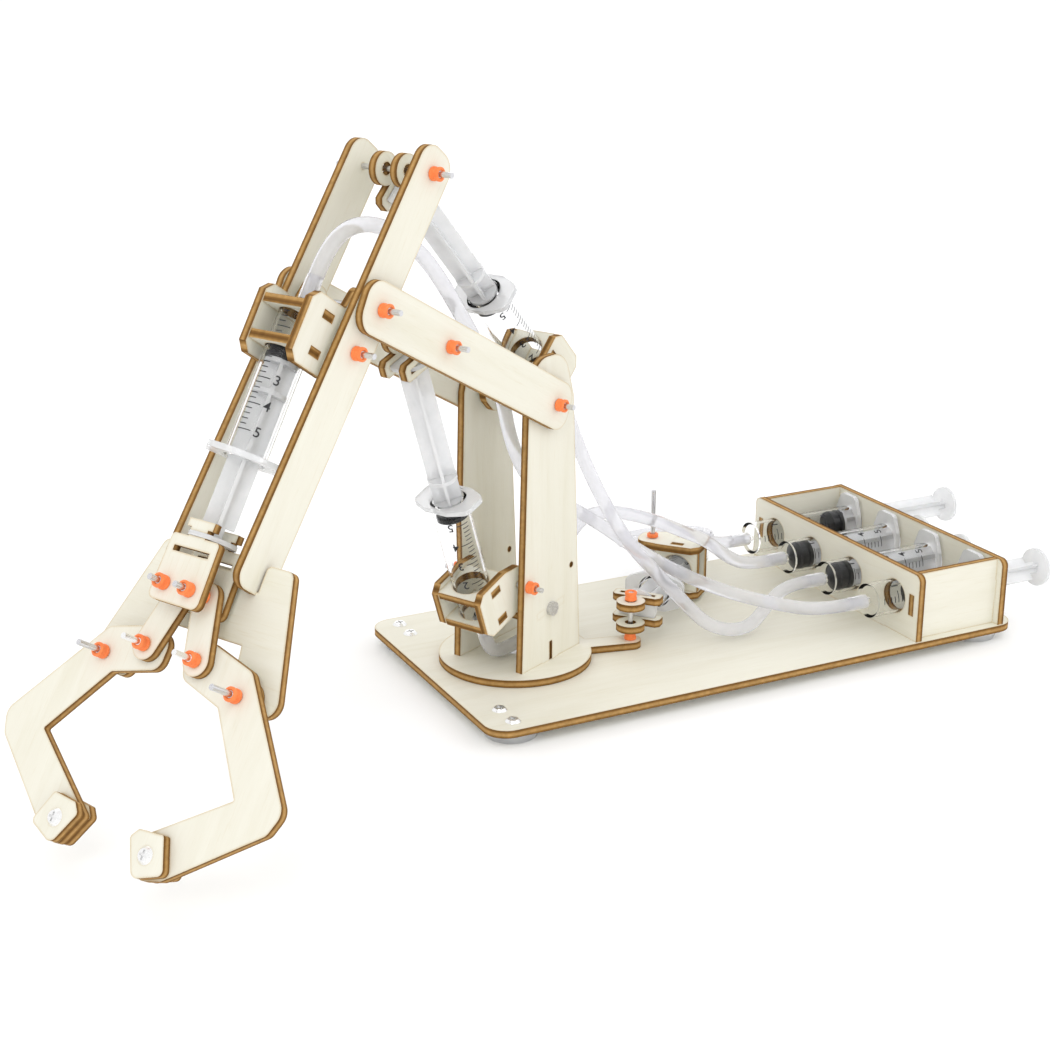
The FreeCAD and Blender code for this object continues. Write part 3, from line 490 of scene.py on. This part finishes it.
dress_pins("turn_pivot_pin", Z)
dress_pins("lever_pin", Z)
dress_pins("boom_pins", ACROSS)
dress_pins("forearm_pins", ACROSS)
BRACE_BOLT = sum(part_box("tower_brace"), Vector()) / 2
dress_pins("tower_pins", ACROSS, bolts=[BRACE_BOLT])
dress_pins("jaw_pivot_pins", GRIP_W)
washers = NODES["jaw_pivot_pins"].data
washers.materials.append(ply_face_for(GRIP_W, ACROSS))
washers.materials.append(ply_edge("washer_edge", GRIP_W, joint_at("jaw_left_swing").dot(GRIP_W)))
dress_pins("yoke_pins", GRIP_W)

# the control plungers' seals are separate solids at the nozzle end
for i in range(1, 5):
    mesh = NODES["control_plunger_%d" % i].data
    mesh.materials.append(BLACK)
    seal = min(solids_of(mesh), key=lambda g: min(mesh.vertices[v].co.x for p in g for v in p.vertices))
    for p in seal:
        p.material_index = 1

STEEL_W = drawn_steel("jaw_screw_steel", GRIP_W, *PLATED)
for hand in ("left", "right"):
    # link: plywood plate, with its pin and collar as a separate solid
    name = "link_" + hand
    mesh = NODES[name].data
    dress_plates(name, [GRIP_W], GRIP_U)
    mesh.materials.append(STEEL_W)
    mesh.materials.append(ORANGE)
    steel_slot = len(mesh.materials) - 2

    def is_stud(polygons, mesh=mesh):
        return reach_along([mesh.vertices[v].co for p in polygons for v in p.vertices], GRIP_W) > 5 * MM

    paint_pins(mesh, GRIP_W, steel_slot, steel_slot + 1, (), is_stud)
    # jaw: laminated fingertip with a screw head on top
    name = "jaw_" + hand
    mesh = NODES[name].data
    dress_plates(name, [GRIP_W], GRIP_U)
    mesh.materials.append(STEEL_W)
    top = joint_at(name + "_swing").dot(GRIP_W) + 2 * PLY * MM
    for p in mesh.polygons:
        if p.center.dot(GRIP_W) > top + 0.1 * MM:
            p.material_index = len(mesh.materials) - 1


# ---- added pieces ---------------------------------------------------------------------------
def add_mesh(name, verts, faces, material, body):
    """New piece that rides on a body."""
    mesh = bpy.data.meshes.new(name)
    mesh.from_pydata([tuple(v) for v in verts], [], faces)
    mesh.materials.append(material)
    mesh.update()
    obj = bpy.data.objects.new(name, mesh)
    bpy.context.scene.collection.objects.link(obj)
    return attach(obj, body)


def lathe(origin, direction, profile, steps=32):
    """Rings of (distance along, radius) in mm about an axis, closed back on itself."""
    e1 = direction.orthogonal().normalized()
    e2 = direction.cross(e1)
    verts, faces = [], []
    n = len(profile)
    for k in range(steps):
        a = 2 * math.pi * k / steps
        out = e1 * math.cos(a) + e2 * math.sin(a)
        for s, r in profile:
            verts.append(origin + direction * (s * MM) + out * (r * MM))
    for k in range(steps):
        for i in range(n):
            j = (i + 1) % n
            m = (k + 1) % steps
            faces.append((k * n + i, k * n + j, m * n + j, m * n + i))
    return verts, faces


def syringe_line(kind):
    """(body, nozzle tip, direction from flange to nozzle) of a syringe."""
    if kind in SYRINGES:
        direction = -joint_axis(SYRINGES[kind])
        round_node, barrel, body = kind + "_piston", kind + "_barrel", kind + "_syringe"
    elif kind == "gripper":
        direction = -GRIP_U
        round_node, barrel, body = "gripper_piston", "gripper_barrel", "forearm"
    else:
        direction = -X
        round_node, barrel, body = "control_plunger_" + kind, "control_barrel_" + kind, "base"
    tip = span_of(barrel, direction)[1]
    return body, node_axis(round_node, direction) + direction * tip, direction


def text_mesh(word, size):
    """Flat outline mesh of a word, in mm, centred on its own middle."""
    curve = bpy.data.curves.new("word", "FONT")
    curve.body = word
    curve.size = size
    curve.align_x, curve.align_y = "CENTER", "CENTER"
    curve.offset = 0.05
    obj = bpy.data.objects.new("word", curve)
    bpy.context.scene.collection.objects.link(obj)
    bpy.context.view_layer.update()
    mesh = bpy.data.meshes.new_from_object(obj.evaluated_get(bpy.context.evaluated_depsgraph_get()))
    bpy.data.objects.remove(obj)
    verts = [(v.co.x, v.co.y) for v in mesh.vertices]
    faces = [tuple(p.vertices) for p in mesh.polygons]
    return verts, faces


DIGITS = {n: text_mesh(str(n), DIGIT_H) for n in range(1, 6)}


def graduations(kind, facing):
    """Printed scale wrapped on the barrel, its middle turned towards facing."""
    body, tip, direction = syringe_line(kind)
    front = tip - direction * (NOZZLE_L * MM)
    middle = (facing - direction * facing.dot(direction)).normalized()
    side = direction.cross(middle)
    verts, faces = [], []

    def wrapped(back, round_mm, lift=0.04):
        a = round_mm / BARREL_R
        out = middle * math.cos(a) + side * math.sin(a)
        return front - direction * (back * MM) + out * ((BARREL_R + lift) * MM)

    def stroke(back, start, stop, width):
        steps = max(2, int((stop - start) / 0.6))
        first = len(verts)
        for k in range(steps + 1):
            place = start + (stop - start) * k / steps
            verts.append(wrapped(back - width / 2, place))
            verts.append(wrapped(back + width / 2, place))
        for k in range(steps):
            i = first + 2 * k
            faces.append((i, i + 1, i + 3, i + 2))

    for tick in range(1, 26):
        back = 1.5 + tick * ML_TRAVEL / 5
        whole = tick % 5 == 0
        stroke(back, -4.6, 0.2 if whole else -2.0, 0.34)
        if whole:
            flat, polygons = DIGITS[tick // 5]
            first = len(verts)
            verts.extend(wrapped(back - y, 2.4 + x) for x, y in flat)
            faces.extend(tuple(first + i for i in p) for p in polygons)
    add_mesh("scale_" + kind, verts, faces, INK, body)


def sleeve(kind):
    """End of the soft tube pushed over the nozzle, a little flared."""
    body, tip, direction = syringe_line(kind)
    back = -SLEEVE_L.get(kind, 8.6)
    profile = [(back, NOZZLE_R + 0.03), (back, TUBE_R + 0.1), (back + 0.4, TUBE_R + 0.2),
               (-1.4, TUBE_R + 0.12), (-0.6, TUBE_R), (0.0, TUBE_R), (0.0, NOZZLE_R - 0.4),
               (-0.1, NOZZLE_R + 0.03)]
    verts, faces = lathe(tip, direction, profile)
    add_mesh("sleeve_" + kind, verts, faces, TUBING, body)


TO_CAMERA = (at(CAMERA_AT) - DATUM).normalized()
for kind in ("turn", "shoulder", "elbow", "gripper", "1", "2", "3", "4"):
    graduations(kind, TO_CAMERA + Z * 0.25)
    sleeve(kind)

# ---- tubes: routes from nozzle to nozzle, mm from the turntable axis --------------------------
ROUTES = {
    "gripper": [
        (-94.52, -47.95, 168.28), (-90.04, -45.68, 175.64), (-80.71, -40.94, 182.0), (-69.12, -35.06, 181.5),
        (-57.52, -29.18, 176.0), (-45.93, -23.3, 166.5), (-37.46, -19.0, 156.0), (-29.43, -14.93, 144.5),
        (-20.96, -10.63, 131.5), (-12.04, -6.11, 119.5), (-6.42, -3.26, 106.0), (-3.12, -1.58, 92.0),
        (2.68, 1.36, 79.0), (11.15, 5.66, 68.0), (21.4, 10.86, 59.5), (33.0, 16.74, 52.5), (45.0, 15.5, 44.5),
        (57.0, 5.5, 34.5), (70.0, -6.5, 26.0), (84.5, -19.0, 19.5), (100.0, -32.5, 16.2),
        (113.0, -43.5, 15.0), (126.95, -43.5, 15.0)],
    "elbow": [
        (22.72, 11.52, 102.67), (28.9, 14.6, 95.5), (33.5, 14.5, 82.5), (38.0, 11.0, 68.5), (43.5, 5.5, 54.0),
        (50.0, -0.5, 40.0), (58.5, -8.2, 28.6), (67.0, -16.2, 17.2), (75.0, -21.0, 7.8), (85.5, -23.5, 4.0),
        (96.0, -22.0, 4.0), (106.3, -17.4, 9.2), (116.5, -14.5, 15.0), (126.95, -14.5, 15.0)],
    "shoulder": [
        (-17.39, -8.83, 16.31), (-15.95, -8.09, 11.66), (-12.8, -6.5, 8.1), (-8.0, -4.05, 6.2),
        (1.8, 0.93, 6.1), (12.4, 6.3, 6.3), (22.0, 11.2, 10.6), (27.6, 14.1, 20.2), (29.0, 15.2, 31.4),
        (34.4, 19.8, 40.4), (44.5, 24.6, 45.0), (56.0, 27.6, 44.0), (67.5, 28.4, 40.8), (78.5, 25.8, 37.0),
        (89.0, 21.6, 32.0), (98.8, 17.2, 27.6), (107.8, 14.6, 19.4), (117.0, 14.0, 15.0),
        (126.95, 14.0, 15.0)],
    "turn": [
        (116.19, 48.34, 13.5), (125.7, 56.3, 13.5), (128.6, 68.6, 11.0), (123.8, 80.2, 8.6),
        (112.8, 86.6, 7.2), (100.0, 85.5, 7.8), (90.3, 77.2, 10.3), (87.2, 64.8, 13.8), (92.9, 53.4, 17.3),
        (103.5, 49.6, 20.0), (111.2, 44.9, 20.0), (118.4, 42.0, 15.0), (126.95, 42.0, 15.0)],
}


def cord(name, points):
    """Soft tube on one smooth spline, standing for the CAD tube of that name."""
    curve = bpy.data.curves.new("tube_" + name, "CURVE")
    curve.dimensions = "3D"
    curve.bevel_depth = TUBE_R * MM
    curve.bevel_resolution = 6
    curve.resolution_u = 12
    curve.use_fill_caps = True
    spline = curve.splines.new("NURBS")
    spline.points.add(len(points) - 1)
    for target, p in zip(spline.points, points):
        target.co = (*at(p), 1.0)
    spline.order_u = 3
    spline.use_endpoint_u = True
    curve.materials.append(TUBING)
    obj = bpy.data.objects.new("hose_" + name, curve)
    bpy.context.scene.collection.objects.link(obj)
    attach(obj, "base")
    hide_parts("tube_" + name)


for name, points in ROUTES.items():
    cord(name, points)


# ---- floor, light and camera ----------------------------------------------------------------
def pale_floor():
    size = 6.0
    mesh = bpy.data.meshes.new("floor")
    corners = [(-size, -size, 0), (size, -size, 0), (size, size, 0), (-size, size, 0)]
    mesh.from_pydata(corners, [], [(0, 1, 2, 3)])
    s = Shader("floor_paper", Roughness=0.9, Specular_IOR_Level=0.1)
    s.set(Base_Color=s.ramp(s.noise(s.place, 8.0), [(0.3, (0.96, 0.96, 0.96)), (0.7, (0.98, 0.98, 0.98))]))
    mesh.materials.append(s.mat)
    obj = bpy.data.objects.new("floor", mesh)
    bpy.context.scene.collection.objects.link(obj)


def area_light(name, place, size, power):
    lamp = bpy.data.lights.new(name, "AREA")
    lamp.shape = "DISK"
    lamp.size = size
    lamp.energy = power
    obj = bpy.data.objects.new(name, lamp)
    bpy.context.scene.collection.objects.link(obj)
    obj.location = place
    obj.rotation_mode = "QUATERNION"
    obj.rotation_quaternion = (KIT_MIDDLE - Vector(place)).to_track_quat("-Z", "Y")


pale_floor()
KIT_MIDDLE = Vector((0, 0, 0.08))
area_light("key", (-0.9, -1.1, 1.5), 1.0, 5.5)
area_light("fill", (1.4, -0.9, 0.9), 1.4, 3.0)
area_light("back", (0.3, 1.5, 1.3), 1.2, 3.0)
world = bpy.data.worlds.new("studio")
world.use_nodes = True
world.node_tree.nodes["Background"].inputs["Color"].default_value = (1, 1, 1, 1)
world.node_tree.nodes["Background"].inputs["Strength"].default_value = 1.07
bpy.context.scene.world = world

camera = bpy.data.objects.new("camera", bpy.data.cameras.new("camera"))
bpy.context.scene.collection.objects.link(camera)
camera.data.sensor_width = 36.0
camera.data.lens = LENS
camera.data.clip_start, camera.data.clip_end = 0.05, 20.0
az, el = math.radians(CAMERA_AZIMUTH), math.radians(CAMERA_ELEVATION)
back = Vector((math.sin(az) * math.cos(el), -math.cos(az) * math.cos(el), math.sin(el)))
camera.location = at(CAMERA_AT)
camera.rotation_mode = "QUATERNION"
camera.rotation_quaternion = (-back).to_track_quat("-Z", "Y")
bpy.context.scene.camera = camera
bpy.context.scene.view_settings.view_transform = "Standard"
